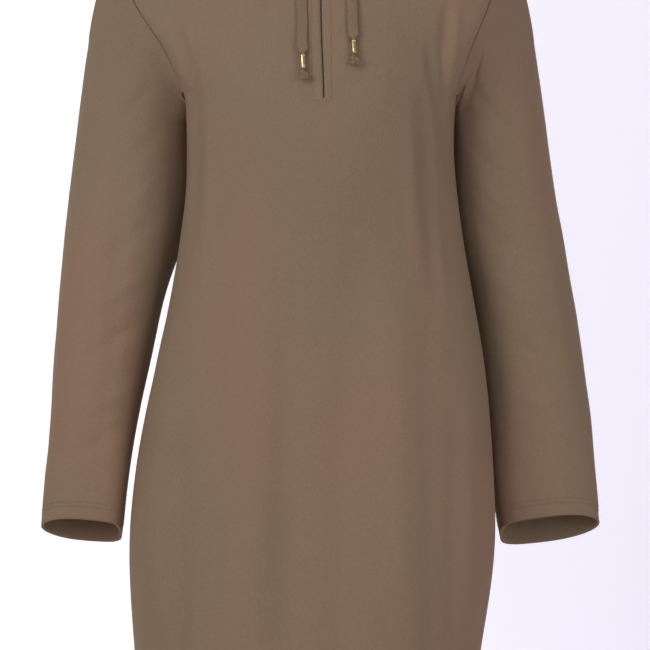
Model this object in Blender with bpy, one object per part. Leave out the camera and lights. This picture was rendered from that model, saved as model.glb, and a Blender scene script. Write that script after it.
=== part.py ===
"""Hooded pullover tunic with a short zip at the neck, filled out as if it were worn.

Metres, +Z up. The front faces -Y, and "left" is the side at -X, the left of a front view.
The origin is where a wearer's neck holds it: midway between the points where the
shoulder seams meet the neck seam. All sizes below are in millimetres unless they say so.
"""

import math

import bmesh
import bpy
import numpy as np
from mathutils import Matrix, Vector
from mathutils.bvhtree import BVHTree

MM = 0.001

# Cloth
WALL = 1.4
HEM_WALL = 2.6
HEM_DEPTH = 20.0
SEAM_GAP = 0.3

# Body of the garment: heights
HEM_Z = -945.0
UNDERARM_Z = -219.0
SHOULDER_TIP_Z = -45.0
SIDE_SEAM_Y = -18.0

# How square the cross-section is at the chest, and how soon it falls away over the shoulder
CHEST_SQUARE = 0.78
SHOULDER_SLACK = 1.5

# Neck opening
NECK_HALF = 88.0
# How far the cloth beside the neck point is led outward under the shoulder seam
NECK_SPREAD = 17.0
NECK_Y = 15.0
FRONT_NECK_Z = -80.0
BACK_NECK_Z = -20.0
SHOULDER_TIP_Y = 8.0

# Zip
SLIT_HALF = 0.7
ZIP_END_Z = -230.0
TAPE_HALF = 12.0
TAPE_WALL = 1.0


def ease(f):
    """0 to 1 with a level start and finish."""
    f = min(1.0, max(0.0, f))
    return f * f * (3 - 2 * f)


class Table:
    """Rows of sizes under named columns, read smoothly between its rows by the first column."""

    def __init__(self, columns, rows):
        rows = sorted(rows)
        self.keys = [row[0] for row in rows]
        self.columns = {name: [row[i] for row in rows] for i, name in enumerate(columns.split())}

    def at(self, name, key):
        keys = self.keys
        values = self.columns[name]
        key = min(max(key, keys[0]), keys[-1])
        i = max(k for k in range(len(keys) - 1) if keys[k] <= key)
        span = keys[i + 1] - keys[i]
        f = (key - keys[i]) / span

        def slope(k):
            low = max(k - 1, 0)
            high = min(k + 1, len(keys) - 1)
            return (values[high] - values[low]) / (keys[high] - keys[low]) * span

        return (
            (2 * f**3 - 3 * f**2 + 1) * values[i]
            + (f**3 - 2 * f**2 + f) * slope(i)
            + (3 * f**2 - 2 * f**3) * values[i + 1]
            + (f**3 - f**2) * slope(i + 1)
        )


# Side seams, centre line, and how far the centre of the front and back stand out
TORSO = Table(
    "z left right middle front back",
    [
        (0, -207, 190, 3, -50, 66),
        (-40, -204, 186, 3, -62, 84),
        (-80, -200, 182, 3, -74, 95),
        (-120, -190, 176, 3, -88, 101),
        (-170, -160, 160, 4, -106, 105),
        (-219, -141, 146, 6, -117.5, 104),
        (-245, -138, 144, 6, -120, 102),
        (-272, -138, 142, 5, -118.5, 98),
        (-310, -137, 145, 5, -112, 94),
        (-345, -142, 149, 4, -105.5, 94),
        (-380, -146, 154, 4, -101, 99),
        (-420, -153, 161, 3, -100, 107),
        (-461, -161, 169, 1, -101, 115),
        (-515, -173, 177, 0, -104, 123),
        (-570, -185, 182, -1, -107, 127),
        (-620, -193, 185, -2, -110, 128),
        (-690, -199, 187, -4, -114, 126),
        (-750, -197, 180, -7, -117, 123),
        (-802, -193, 171, -10, -119, 121),
        (-870, -188, 164, -11, -120, 119),
        (-945, -184, 160, -12, -121, 118),
    ],
)

# The armhole edge, from the underarm (0) to the shoulder tip (1)
ARMHOLE = Table(
    "t z left right front back",
    [
        (0.00, -219, -141, 146, -18, -18),
        (0.08, -216, -142, 147, -26, -9),
        (0.20, -201, -148, 151, -37, 12),
        (0.38, -172, -161, 160, -47, 37),
        (0.55, -143, -181, 172, -52, 52),
        (0.72, -115, -197, 183, -46, 53),
        (0.88, -80, -202, 189, -26, 37),
        (1.00, -45, -203, 190, 8, 8),
    ],
)

# Soft drapes of the front: both ends of a line, its half width, and how far it stands out
FRONT_DRAPES = [
    dict(x_top=102, z_top=-205, x_end=130, z_end=-400, half=13, out=-4.5),
    dict(x_top=122, z_top=-165, x_end=141, z_end=-300, half=9, out=-4.0),
    dict(x_top=84, z_top=-230, x_end=112, z_end=-420, half=16, out=2.5),
    dict(x_top=-118, z_top=-150, x_end=-122, z_end=-360, half=12, out=-3.5),
    dict(x_top=0, z_top=-380, x_end=-10, z_end=-930, half=42, out=-7.0),
    dict(x_top=-85, z_top=-350, x_end=-92, z_end=-760, half=50, out=4.0),
    dict(x_top=95, z_top=-330, x_end=98, z_end=-860, half=50, out=5.0),
    dict(x_top=-150, z_top=-560, x_end=-140, z_end=-930, half=22, out=-4.0),
]
BACK_DRAPES = [
    dict(x_top=0, z_top=-300, x_end=-6, z_end=-930, half=36, out=-6.0),
    dict(x_top=-95, z_top=-430, x_end=-108, z_end=-930, half=34, out=4.0),
    dict(x_top=92, z_top=-430, x_end=104, z_end=-930, half=34, out=4.0),
    dict(x_top=-60, z_top=-300, x_end=-90, z_end=-440, half=16, out=-3.0),
    dict(x_top=62, z_top=-290, x_end=96, z_end=-430, half=16, out=-3.0),
]

# Sleeve rings from above the elbow to the cuff: the outer and inner edge of each ring as seen
# from the front, its middle and half depth along Y, and how far its back hangs below its front
SLEEVE_COLUMNS = "s outer_x outer_z inner_x inner_z middle_y half_y drop"
SLEEVE_RINGS = {
    "left": Table(
        SLEEVE_COLUMNS,
        [
            (0.0, -256, -236, -123, -252, 34, 55, 0),
            (1.0, -263, -298, -131, -326, 33, 54, 0),
            (2.0, -269, -353, -145, -381, 26, 52, 2),
            (3.0, -274, -408, -160, -424, 17, 49, 4),
            (4.0, -278, -461, -172, -477, 12, 47, 7),
            (5.0, -281, -514, -183, -528, 5, 44, 11),
            (6.0, -283, -566, -193, -580, -2, 38, 16),
            (7.0, -288, -619, -200, -632, -9, 33, 21),
            (8.0, -292, -673, -205, -680, -15, 26, 26),
        ],
    ),
    "right": Table(
        SLEEVE_COLUMNS,
        [
            (0.0, 242, -236, 124, -256, 34, 55, 0),
            (1.0, 250, -298, 135, -331, 31, 54, 0),
            (2.0, 259, -353, 144, -382, 31, 51, 2),
            (3.0, 268, -408, 157, -426, 27, 48, 4),
            (4.0, 278, -461, 165, -479, 27, 44, 7),
            (5.0, 285, -514, 172, -529, 26, 41, 11),
            (6.0, 292, -567, 179, -581, 24, 36, 16),
            (7.0, 296, -620, 184, -633, 20, 31, 22),
            (8.0, 300, -671, 192, -684, 16, 24, 30),
        ],
    ),
}

# Hood: an egg on the head's axis, open to the front
HOOD_MIDDLE = (0.0, 22.0, 168.0)
HOOD_HALF = (112.0, 150.0, 165.0)
HOOD_BACK_HALF = 122.0
HOOD_FACE_ANGLE = 42.0

# Drawcord: flat tape with a metal barrel and a knot on each end
CORD_WIDTH = 10.5
CORD_THICK = 2.2
CORD_GATHERED = 3.8
BARREL_RADIUS = 3.0
BARREL_BORE = 2.3
BARREL_LENGTH = 14.2
KNOT_HALF = (5.2, 3.6, 6.2)
EYELET_RING = 3.9
EYELET_WIRE = 1.1
EYELET_PLACES = {"left": (-21.5, -58.0), "right": (27.0, -58.0)}
SLIDER_Z = -92.0

# The free ends of the drawcord, from the eyelet down over the chest to the knot
CORD_ROUTES = {
    "left": [
        (-21.5, -75.2, -58.0),
        (-21.5, -78.6, -58.8),
        (-21.2, -80.3, -62.5),
        (-20.5, -80.7, -70.0),
        (-19.4, -81.2, -80.0),
        (-17.8, -82.0, -100.0),
        (-16.6, -86.2, -122.0),
        (-16.2, -96.4, -144.0),
        (-15.9, -106.2, -166.0),
        (-15.4, -112.7, -183.0),
        (-15.0, -115.4, -192.0),
        (-14.4, -118.0, -201.0),
    ],
    "right": [
        (27.0, -74.8, -58.0),
        (27.1, -78.2, -58.8),
        (27.6, -79.9, -62.5),
        (28.7, -80.2, -70.0),
        (30.6, -80.4, -80.0),
        (33.4, -81.0, -100.0),
        (34.6, -84.2, -120.0),
        (35.2, -93.8, -140.0),
        (35.9, -102.1, -157.0),
        (36.5, -106.6, -168.0),
        (36.9, -109.8, -177.0),
        (37.3, -112.9, -185.5),
    ],
}


def material(name, colour, roughness, metallic=0.0):
    made = bpy.data.materials.new(name)
    made.use_nodes = True
    shader = made.node_tree.nodes["Principled BSDF"]
    shader.inputs["Base Color"].default_value = (*colour, 1.0)
    shader.inputs["Roughness"].default_value = roughness
    shader.inputs["Metallic"].default_value = metallic
    made.diffuse_color = (*colour, 1.0)
    return made


def finish(name, bm, made):
    """Turns a bmesh in millimetres into a named object in metres, faces out."""
    bmesh.ops.remove_doubles(bm, verts=bm.verts, dist=0.001)
    bmesh.ops.recalc_face_normals(bm, faces=bm.faces)
    bmesh.ops.scale(bm, vec=Vector((MM, MM, MM)), verts=bm.verts)
    mesh = bpy.data.meshes.new(name)
    bm.to_mesh(mesh)
    bm.free()
    mesh.materials.append(made)
    mesh.shade_smooth()
    mesh.set_sharp_from_angle(angle=math.radians(50))
    made_object = bpy.data.objects.new(name, mesh)
    bpy.context.scene.collection.objects.link(made_object)
    return made_object


def unit(vectors):
    length = np.linalg.norm(vectors, axis=-1, keepdims=True)
    return vectors / np.maximum(length, 1e-9)


def grid_normals(points, around):
    """Softened normals of a grid [row, column, xyz]; the columns close up when around is set."""
    if around:
        across = np.roll(points, -1, axis=1) - np.roll(points, 1, axis=1)
    else:
        across = np.gradient(points, axis=1)
    along = np.gradient(points, axis=0)
    normals = unit(np.cross(across, along))
    for _ in range(2):
        softer = 4 * normals
        softer[1:] += normals[:-1]
        softer[:-1] += normals[1:]
        softer[:, 1:] += normals[:, :-1]
        softer[:, :-1] += normals[:, 1:]
        if around:
            softer[:, 0] += normals[:, -1]
            softer[:, -1] += normals[:, 0]
        normals = unit(softer)
    return normals


def wall(name, outer, inner, made, around=False, open_cells=()):
    """A closed wall between two grids of points, rimmed wherever a cell has no neighbour."""
    rows, columns = outer.shape[:2]
    cells = [
        (i, j)
        for i in range(rows - 1)
        for j in range(columns if around else columns - 1)
        if (i, j) not in open_cells
    ]
    bm = bmesh.new()
    skins = [[[bm.verts.new(p) for p in row] for row in grid] for grid in (outer, inner)]
    edges = {}
    for i, j in cells:
        k = (j + 1) % columns
        corners = [(i, j), (i, k), (i + 1, k), (i + 1, j)]
        bm.faces.new([skins[0][a][b] for a, b in corners])
        bm.faces.new([skins[1][a][b] for a, b in reversed(corners)])
        for start, end in zip(corners, corners[1:] + corners[:1]):
            edges.setdefault(frozenset((start, end)), []).append((start, end))
    for sides in edges.values():
        if len(sides) == 1:
            (a, b), (c, d) = sides[0]
            bm.faces.new([skins[0][c][d], skins[0][a][b], skins[1][a][b], skins[1][c][d]])
    return finish(name, bm, made)


def tree_of(points):
    """A search tree of a grid of points, faces out when its columns run anticlockwise seen from above."""
    rows, columns = points.shape[:2]
    faces = [
        (i * columns + j, i * columns + j + 1, (i + 1) * columns + j + 1, (i + 1) * columns + j)
        for i in range(rows - 1)
        for j in range(columns - 1)
    ]
    return BVHTree.FromPolygons([Vector(p) for p in points.reshape(-1, 3)], faces)


def drape(drapes, x, z):
    """How far the drapes move the cloth outward at x, z."""
    total = 0.0
    for d in drapes:
        f = (z - d["z_top"]) / (d["z_end"] - d["z_top"])
        if 0 < f < 1:
            centre = d["x_top"] + f * (d["x_end"] - d["x_top"])
            total += d["out"] * math.sin(math.pi * f) ** 0.7 * math.exp(-(((x - centre) / d["half"]) ** 2))
    return total


def column_angles(neck_columns, side_columns, tip_half):
    """Angles from the centre (0) to the side (90 degrees), with one column at the neck point."""
    across = NECK_HALF * np.sin(np.linspace(0, math.pi / 2, neck_columns + 1))
    inner = np.arcsin(across / tip_half)
    outer = np.linspace(inner[-1], math.pi / 2, side_columns + 1)[1:]
    return list(inner) + list(outer)


def top_edge(face, offset, tip_half):
    """Y and z of the panel's top edge at a distance from the centre line: neckline, then shoulder."""
    if offset >= NECK_HALF:
        f = (offset - NECK_HALF) / (tip_half - NECK_HALF)
        return NECK_Y + f * (SHOULDER_TIP_Y - NECK_Y), f * SHOULDER_TIP_Z
    curve = math.sqrt(max(0.0, 1 - (offset / NECK_HALF) ** 2))
    centre_z = FRONT_NECK_Z if face == "front" else BACK_NECK_Z
    centre_y = TORSO.at(face, centre_z)
    return NECK_Y + (centre_y - NECK_Y) * curve, centre_z * curve


def panel_point(face, side, angle, row):
    """A point on the outside of the front or back: row is a height, or ("arm", t) above the underarm."""
    sign = -1 if side == "left" else 1
    turn = math.sin(angle)
    if isinstance(row, tuple):
        t = row[1]
        pull = turn ** (7 * (1 - t) ** 1.5)
        edge_x = ARMHOLE.at(side, 0) + (ARMHOLE.at(side, t) - ARMHOLE.at(side, 0)) * pull
        edge_y = SIDE_SEAM_Y + (ARMHOLE.at(face, t) - SIDE_SEAM_Y) * pull
        tip_half = abs(ARMHOLE.at(side, 1.0) - TORSO.at("middle", -80))
        top_y, top_z = top_edge(face, tip_half * turn, tip_half)
        rise = (ARMHOLE.at("z", t) - UNDERARM_Z) / (SHOULDER_TIP_Z - UNDERARM_Z)
        round_over = 1 - (1 - rise) ** 1.5
        z = UNDERARM_Z + (top_z - UNDERARM_Z) * (rise * turn**4 + round_over * (1 - turn**4))
        middle = TORSO.at("middle", z)
        over = max(0.0, (t - 0.3) / 0.7) ** 2.2
        power = CHEST_SQUARE + (SHOULDER_SLACK - CHEST_SQUARE) * ease(rise)
        y = edge_y + (TORSO.at(face, z) - edge_y) * math.cos(angle) ** power
        y = y + (top_y - y) * over
        neck_turn = NECK_HALF / tip_half
        beside = ease(min(turn / neck_turn, (1 - turn) / (1 - neck_turn)))
        edge_x += sign * NECK_SPREAD * beside * over * (1 - over) / max(turn, 0.1)
    else:
        z = row
        middle = TORSO.at("middle", z)
        edge_x = TORSO.at(side, z)
        power = CHEST_SQUARE + (1 - CHEST_SQUARE) * ease((UNDERARM_Z - z) / 150)
        y = SIDE_SEAM_Y + (TORSO.at(face, z) - SIDE_SEAM_Y) * math.cos(angle) ** power
    x = middle + (edge_x - middle) * turn
    drapes = FRONT_DRAPES if face == "front" else BACK_DRAPES
    out = drape(drapes, x, z) * math.cos(angle) ** 0.5 if turn < 0.999 else 0.0
    facing = -1 if face == "front" else 1
    x += out * sign * turn
    y += out * facing * math.cos(angle)
    return (x, y, z)


def panel_grid(face, neck_columns, side_columns, heights, arm_steps):
    """Grid of the panel's outside, from the left edge to the right and from the hem up."""
    rows = list(heights) + [("arm", t) for t in arm_steps]
    halves = {}
    for side in ("left", "right"):
        tip_half = abs(ARMHOLE.at(side, 1.0) - TORSO.at("middle", -80))
        halves[side] = column_angles(neck_columns, side_columns, tip_half)
    grid = []
    for row in rows:
        left = [panel_point(face, "left", a, row) for a in reversed(halves["left"])]
        right = [panel_point(face, "right", a, row) for a in halves["right"]]
        if face == "front":
            middle = left[-1]
            left[-1] = (middle[0] - SLIT_HALF, middle[1], middle[2])
            right[0] = (middle[0] + SLIT_HALF, middle[1], middle[2])
            grid.append(left + right)
        else:
            grid.append(left + right[1:])
    return np.array(grid)


def panel_normals(face, outer, arm_rows):
    """Normals of a panel, squared up along its seams so that its rims face their neighbours'."""
    normals = grid_normals(outer, False)
    facing = -1 if face == "front" else 1
    if normals[len(outer) // 3, outer.shape[1] // 2, 1] * facing < 0:
        normals = -normals
    below = len(outer) - arm_rows
    normals[: below + 1, 0] = (-1, 0, 0)
    normals[: below + 1, -1] = (1, 0, 0)
    across = outer[-1, :, 0] - TORSO.at("middle", -80)
    shoulder = np.abs(across) > NECK_HALF + 1
    normals[-1] = normals[-2]
    normals[-1, shoulder, 1] = 0
    normals[-1, shoulder, 2] = np.abs(normals[-1, shoulder, 2]) + 0.5
    neck_depth = TORSO.at(face, FRONT_NECK_Z if face == "front" else BACK_NECK_Z) - NECK_Y
    away = (outer[-1, :, 1] - NECK_Y) / neck_depth**2
    level = np.stack([across / NECK_HALF**2, away, np.zeros(len(away))], axis=1)
    level[np.abs(across) > NECK_HALF - 1, 1] = 0
    normals[-1, ~shoulder] = level[~shoulder]
    return unit(normals)


def seam_shift(face, outer, arm_rows):
    """Draws the seam edges back by half the gap, so that the front and back stay apart."""
    shift = SEAM_GAP / 2 * (-1 if face == "front" else 1)
    moved = outer.copy()
    underarm = len(outer) - arm_rows
    moved[: underarm + 1, [0, -1], 1] += shift
    shoulder = np.abs(outer[-1, :, 0] - TORSO.at("middle", -80)) > NECK_HALF - 1
    moved[-1, shoulder, 1] += shift
    return moved


def build_panel(face, made, neck_columns, side_columns, body_rows, arm_steps):
    heights = [HEM_Z, HEM_Z + HEM_DEPTH, HEM_Z + HEM_DEPTH + 2]
    heights += list(np.linspace(HEM_Z + 60, ZIP_END_Z, body_rows))
    drawn = panel_grid(face, neck_columns, side_columns, heights, arm_steps)
    normals = panel_normals(face, drawn, len(arm_steps))
    outer = seam_shift(face, drawn, len(arm_steps))
    thickness = np.full(outer.shape[:2] + (1,), WALL)
    thickness[:2] = HEM_WALL
    inner = outer - normals * thickness
    slit = set()
    if face == "front":
        centre = neck_columns + side_columns
        slit = {
            (i, centre)
            for i in range(len(outer) - 1)
            if outer[i, centre, 2] >= ZIP_END_Z - 1
        }
    wall(face, outer, inner, made, open_cells=slit)
    return drawn, outer, normals


def armhole_ring(side, panels, arm_rows):
    """Points and normals round the armhole: shoulder tip, front, underarm, back."""
    edge = 0 if side == "left" else -1
    front_outer, front_normals = panels["front"]
    back_outer, back_normals = panels["back"]
    down = slice(None, -arm_rows - 1, -1)
    up = slice(-arm_rows, -1)
    points = [front_outer[down, edge][:-1], back_outer[up, edge]]
    normals = [front_normals[down, edge][:-1], back_normals[up, edge]]
    return np.concatenate(points), unit(np.concatenate(normals))


def sleeve_ring(table, s, steps):
    """One ring of the sleeve, starting at its outer edge and passing the front first."""
    outer = np.array([table.at("outer_x", s), 0.0, table.at("outer_z", s)])
    inner = np.array([table.at("inner_x", s), 0.0, table.at("inner_z", s)])
    middle = (outer + inner) / 2 + np.array([0.0, table.at("middle_y", s), 0.0])
    half_across = (outer - inner) / 2
    half_deep = np.array([0.0, -table.at("half_y", s), table.at("drop", s) / 2])
    squareness = 1 - 0.42 * ease((s - 4.5) / 3)
    ring = []
    for k in range(steps):
        turn = 2 * math.pi * k / steps
        wide, deep = math.cos(turn), math.sin(turn)
        if wide < -1e-6:
            wide = -abs(wide) ** squareness
            deep = math.copysign(abs(deep) ** squareness, deep)
        ring.append(middle + half_across * wide + half_deep * deep)
    return np.array(ring)


def build_sleeve(side, made, panels, body_tree, arm_rows, fan_rings=7):
    sign = -1 if side == "left" else 1
    table = SLEEVE_RINGS[side]
    edge, edge_normals = armhole_ring(side, panels, arm_rows)
    steps = len(edge)
    away = unit(np.cross(np.roll(edge, -1, axis=0) - np.roll(edge, 1, axis=0), edge_normals))
    if np.sum(away[0] * np.array([sign, 0, -0.3])) < 0:
        away = -away
    start = edge + away * (SEAM_GAP + 0.1)
    first = sleeve_ring(table, 0.0, steps)
    second = sleeve_ring(table, 0.5, steps)
    down = unit(second - first)
    low = (1 - np.cos(2 * np.pi * np.arange(steps) / steps)) / 2
    low = low[:, None] ** 2
    high = (1 + np.cos(2 * np.pi * np.arange(steps) / steps))[:, None] / 2
    leave = unit(away * (1 - 0.35 * low) + edge_normals * (0.75 * low) + np.array([0, 0, -0.7]) * high)
    for _ in range(3):
        leave = unit(np.roll(leave, 1, axis=0) + 2 * leave + np.roll(leave, -1, axis=0))
    reach = np.linalg.norm(first - start, axis=1, keepdims=True)
    handle_a = start + leave * np.maximum(reach * 0.25, 7.0)
    handle_b = first - down * reach * 0.38
    rings = [start]
    for f in (np.arange(1, fan_rings) / fan_rings) ** 1.15:
        rings.append(
            (1 - f) ** 3 * start
            + 3 * (1 - f) ** 2 * f * handle_a
            + 3 * (1 - f) * f**2 * handle_b
            + f**3 * first
        )
    last = table.keys[-1]
    hem_step = HEM_DEPTH / 53.0
    positions = list(np.linspace(0, last - hem_step - 0.05, 14)) + [last - hem_step, last]
    rings += [sleeve_ring(table, s, steps) for s in positions]
    outer = np.array(rings)
    outer = keep_clear(outer, body_tree)
    normals = grid_normals(outer, True)
    if np.sum(normals[-4, 0] * np.array([sign, 0, 0])) < 0:
        normals = -normals
    normals[0] = edge_normals
    thickness = np.full(outer.shape[:2] + (1,), WALL)
    thickness[-2:] = HEM_WALL
    inner = outer - normals * thickness
    wall(f"sleeve_{side}", outer, inner, made, around=True)


def body_tree():
    """A search tree of the body of the garment below the underarms, all round."""
    heights = np.linspace(HEM_Z, UNDERARM_Z, 60)
    angles = np.linspace(0, math.pi / 2, 12)
    rings = []
    for z in heights:
        ring = [panel_point("front", "left", a, z) for a in reversed(angles)]
        ring += [panel_point("front", "right", a, z) for a in angles[1:]]
        ring += [panel_point("back", "right", a, z) for a in reversed(angles[:-1])]
        ring += [panel_point("back", "left", a, z) for a in angles[1:]]
        rings.append(ring)
    return tree_of(np.array(rings))


def keep_clear(points, tree, clearance=1.6):
    """Moves the points of a sleeve that would touch the body of the garment just clear of it."""
    moved = points.copy()
    for i, j in np.ndindex(points.shape[:2]):
        if moved[i, j, 2] < UNDERARM_Z - 3:
            place, normal, _, _ = tree.find_nearest(Vector(moved[i, j]))
            if (Vector(moved[i, j]) - place).dot(normal) < clearance:
                moved[i, j] = np.array(place + normal * clearance)
    return moved


def neck_seam(side, front, back, front_columns, back_columns):
    """The panels' neckline on one side, from the centre front to the centre back, in points or normals."""
    centre = sum(front_columns)
    back_centre = sum(back_columns)
    if side == "left":
        values = list(front[-1, centre::-1][: front_columns[0] + 1])
        values += list(back[-1, back_centre - back_columns[0] + 1 : back_centre + 1])
    else:
        values = list(front[-1, centre + 1 :][: front_columns[0] + 1])
        values += list(back[-1, back_centre + back_columns[0] - 1 : back_centre - 1 : -1])
    return np.array(values)


def build_hood(side, made, neckline, neck_normals, low_rows=6, top_rows=6):
    sign = -1 if side == "left" else 1
    centre = np.array(HOOD_MIDDLE)
    half = np.array(HOOD_HALF)
    face = math.radians(HOOD_FACE_ANGLE)
    columns = len(neckline) - 1
    turns = [face + (math.pi - face) * (j / columns) for j in range(columns + 1)]
    edge_gap = SEAM_GAP / 2
    away = unit(np.cross(np.gradient(neckline, axis=0), neck_normals))
    away = away * np.sign(away[:, 2:])
    seam = neckline + away * (SEAM_GAP + 0.1)

    def egg(turn, lift):
        around_head = math.sin(turn)
        point = centre + half * np.array(
            [sign * around_head * math.cos(lift), -math.cos(turn), around_head * math.sin(lift)]
        )
        if turn > math.pi / 2:
            point[1] = centre[1] - HOOD_BACK_HALF * math.cos(turn)
        return point

    rows = []
    for i in range(low_rows):
        f = i / low_rows
        row = []
        for j, turn in enumerate(turns):
            low = seam[j]
            high = egg(turn, 0.0)
            bow = math.sin(math.pi * f) * 6
            blend = f**0.8
            point = low + (high - low) * blend
            point[2] = low[2] + (high[2] - low[2]) * f
            out = unit(np.array([point[0], point[1] - centre[1], 0.0]))
            row.append(point + out * bow * (0.0 if j == columns else 1.0))
        rows.append(row)
    for i in range(top_rows + 1):
        lift = math.pi / 2 * i / top_rows
        rows.append([egg(turn, lift) for turn in turns])
    outer = np.array(rows)
    outer[:, :, 0] = sign * np.maximum(outer[:, :, 0] * sign, edge_gap)
    outer[0, :-1] = seam[:-1]
    normals = grid_normals(outer, False)
    if normals[low_rows, columns // 2, 0] * sign < 0:
        normals = -normals
    normals[low_rows:, -1] = (0, 1, 0)
    normals[:low_rows, -1, 0] = 0
    normals[-1, :, 0] = 0
    normals[0] = neck_normals
    normals[0, -1, 0] = 0
    inner = outer - unit(normals) * WALL
    wall(f"hood_{side}", outer, inner, made)
    return outer


def on_surface(tree, x, z):
    """Where a line from the front at x, z meets the cloth, and the cloth's outward direction there."""
    place, normal, _, _ = tree.ray_cast(Vector((x, -400.0, z)), Vector((0.0, 1.0, 0.0)))
    if normal.y > 0:
        normal = -normal
    return place, normal


def ring_solid(name, rings, made):
    """A solid through closed rings of points, with a flat cap on its first and last ring."""
    bm = bmesh.new()
    made_rings = [[bm.verts.new(p) for p in ring] for ring in rings]
    count = len(rings[0])
    for low, high in zip(made_rings, made_rings[1:]):
        for k in range(count):
            m = (k + 1) % count
            bm.faces.new([low[k], low[m], high[m], high[k]])
    bm.faces.new(list(reversed(made_rings[0])))
    bm.faces.new(made_rings[-1])
    return finish(name, bm, made)


def frame_along(axis):
    """Two directions square to an axis."""
    axis = Vector(axis).normalized()
    first = (Vector((1, 0, 0)) - axis * axis.x).normalized()
    return first, axis.cross(first)


def turned_ring(name, profile, place, axis, steps, made):
    """A closed profile of (radius, along) turned about an axis, like an eyelet or a hollow barrel."""
    first, second = frame_along(axis)
    axis = Vector(axis).normalized()
    bm = bmesh.new()
    loops = []
    for k in range(steps):
        turn = 2 * math.pi * k / steps
        out = first * math.cos(turn) + second * math.sin(turn)
        loops.append([bm.verts.new(Vector(place) + out * r + axis * h) for r, h in profile])
    for k in range(steps):
        here = loops[k]
        there = loops[(k + 1) % steps]
        for i in range(len(profile)):
            j = (i + 1) % len(profile)
            bm.faces.new([here[i], here[j], there[j], there[i]])
    return finish(name, bm, made)


def smooth_route(points, count):
    """Evenly spaced points on a smooth curve through the route's own points."""
    route = [Vector(p) for p in points]
    fine = []
    for i in range(len(route) - 1):
        before = route[max(i - 1, 0)]
        after = route[min(i + 2, len(route) - 1)]
        for f in np.linspace(0, 1, 13)[:-1]:
            fine.append(
                0.5
                * (
                    2 * route[i]
                    + (route[i + 1] - before) * f
                    + (2 * before - 5 * route[i] + 4 * route[i + 1] - after) * f * f
                    + (3 * route[i] - before - 3 * route[i + 1] + after) * f**3
                )
            )
    fine.append(route[-1])
    fine = np.array([tuple(p) for p in fine])
    along = np.concatenate([[0], np.cumsum(np.linalg.norm(np.diff(fine, axis=0), axis=1))])
    wanted = np.linspace(0, along[-1], count)
    return np.stack([np.interp(wanted, along, fine[:, k]) for k in range(3)], axis=1), wanted


def tape_width(along, length):
    """The tape is gathered where it leaves the eyelet and again where it enters the barrel."""
    barrel = length - BARREL_LENGTH - 3
    spread = min(1.0, max(0.0, (along - 5) / 16))
    close = min(1.0, max(0.0, (barrel - along) / 5))
    flat = min(spread, close)
    flat = flat * flat * (3 - 2 * flat)
    width = CORD_GATHERED + (CORD_WIDTH - CORD_GATHERED) * flat
    thick = CORD_GATHERED * 0.9 + (CORD_THICK - CORD_GATHERED * 0.9) * flat
    return width, thick


def build_cord(side, made):
    points, along = smooth_route(CORD_ROUTES[side], 44)
    tangents = unit(np.gradient(points, axis=0))
    rings = []
    for point, tangent, s in zip(points, tangents, along):
        width, thick = tape_width(s, along[-1])
        across, out = frame_along(tangent)
        ring = []
        for k in range(10):
            turn = 2 * math.pi * k / 10
            wide = math.copysign(abs(math.cos(turn)) ** 0.7, math.cos(turn)) * width / 2
            deep = math.copysign(abs(math.sin(turn)) ** 0.7, math.sin(turn)) * thick / 2
            ring.append(Vector(point) + across * wide + out * deep)
        rings.append(ring)
    ring_solid(f"cord_{side}", rings, made)
    return points, tangents


def build_barrel(side, made, end, tangent):
    """The hollow metal end that slides on the cord, rolled at both rims."""
    half = BARREL_LENGTH / 2
    roll = 0.9
    profile = [
        (BARREL_BORE, -half + 0.3),
        (BARREL_RADIUS - 0.45, -half),
        (BARREL_RADIUS, -half + 0.5),
        (BARREL_RADIUS, -half + roll),
        (BARREL_RADIUS - 0.3, -half + roll + 0.5),
        (BARREL_RADIUS - 0.3, half - roll - 0.5),
        (BARREL_RADIUS, half - roll),
        (BARREL_RADIUS, half - 0.5),
        (BARREL_RADIUS - 0.45, half),
        (BARREL_BORE, half - 0.3),
    ]
    middle = Vector(end) - Vector(tangent) * (half + 1.2)
    turned_ring(f"barrel_{side}", profile, middle, tangent, 18, made)


def build_knot(side, made, end, tangent):
    """The overhand knot under the barrel: a lump with a wound groove and a small tail."""
    first, second = frame_along(tangent)
    axis = Vector(tangent).normalized()
    half_wide, half_deep, half_long = KNOT_HALF
    middle = Vector(end) + axis * (half_long + 0.4)
    rings = []
    for i in range(1, 10):
        along = -math.cos(math.pi * i / 10)
        swell = math.sin(math.pi * i / 10) ** 0.75
        ring = []
        for k in range(14):
            turn = 2 * math.pi * k / 14
            groove = 1 - 0.10 * math.cos(2 * turn + along * 3.0) ** 4
            ring.append(
                middle
                + first * (math.cos(turn) * half_wide * swell * groove)
                + second * (math.sin(turn) * half_deep * swell * groove)
                + axis * (along * half_long)
            )
        rings.append(ring)
    ring_solid(f"knot_{side}", rings, made)


def build_eyelet(side, made, hood_tree):
    x, z = EYELET_PLACES[side]
    place, normal = on_surface(hood_tree, x, z)
    profile = []
    for k in range(8):
        turn = 2 * math.pi * k / 8
        profile.append((EYELET_RING + EYELET_WIRE * math.cos(turn), 0.75 * EYELET_WIRE * math.sin(turn)))
    turned_ring(f"eyelet_{side}", profile, place + normal * (0.75 * EYELET_WIRE + 0.35), normal, 22, made)


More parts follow.
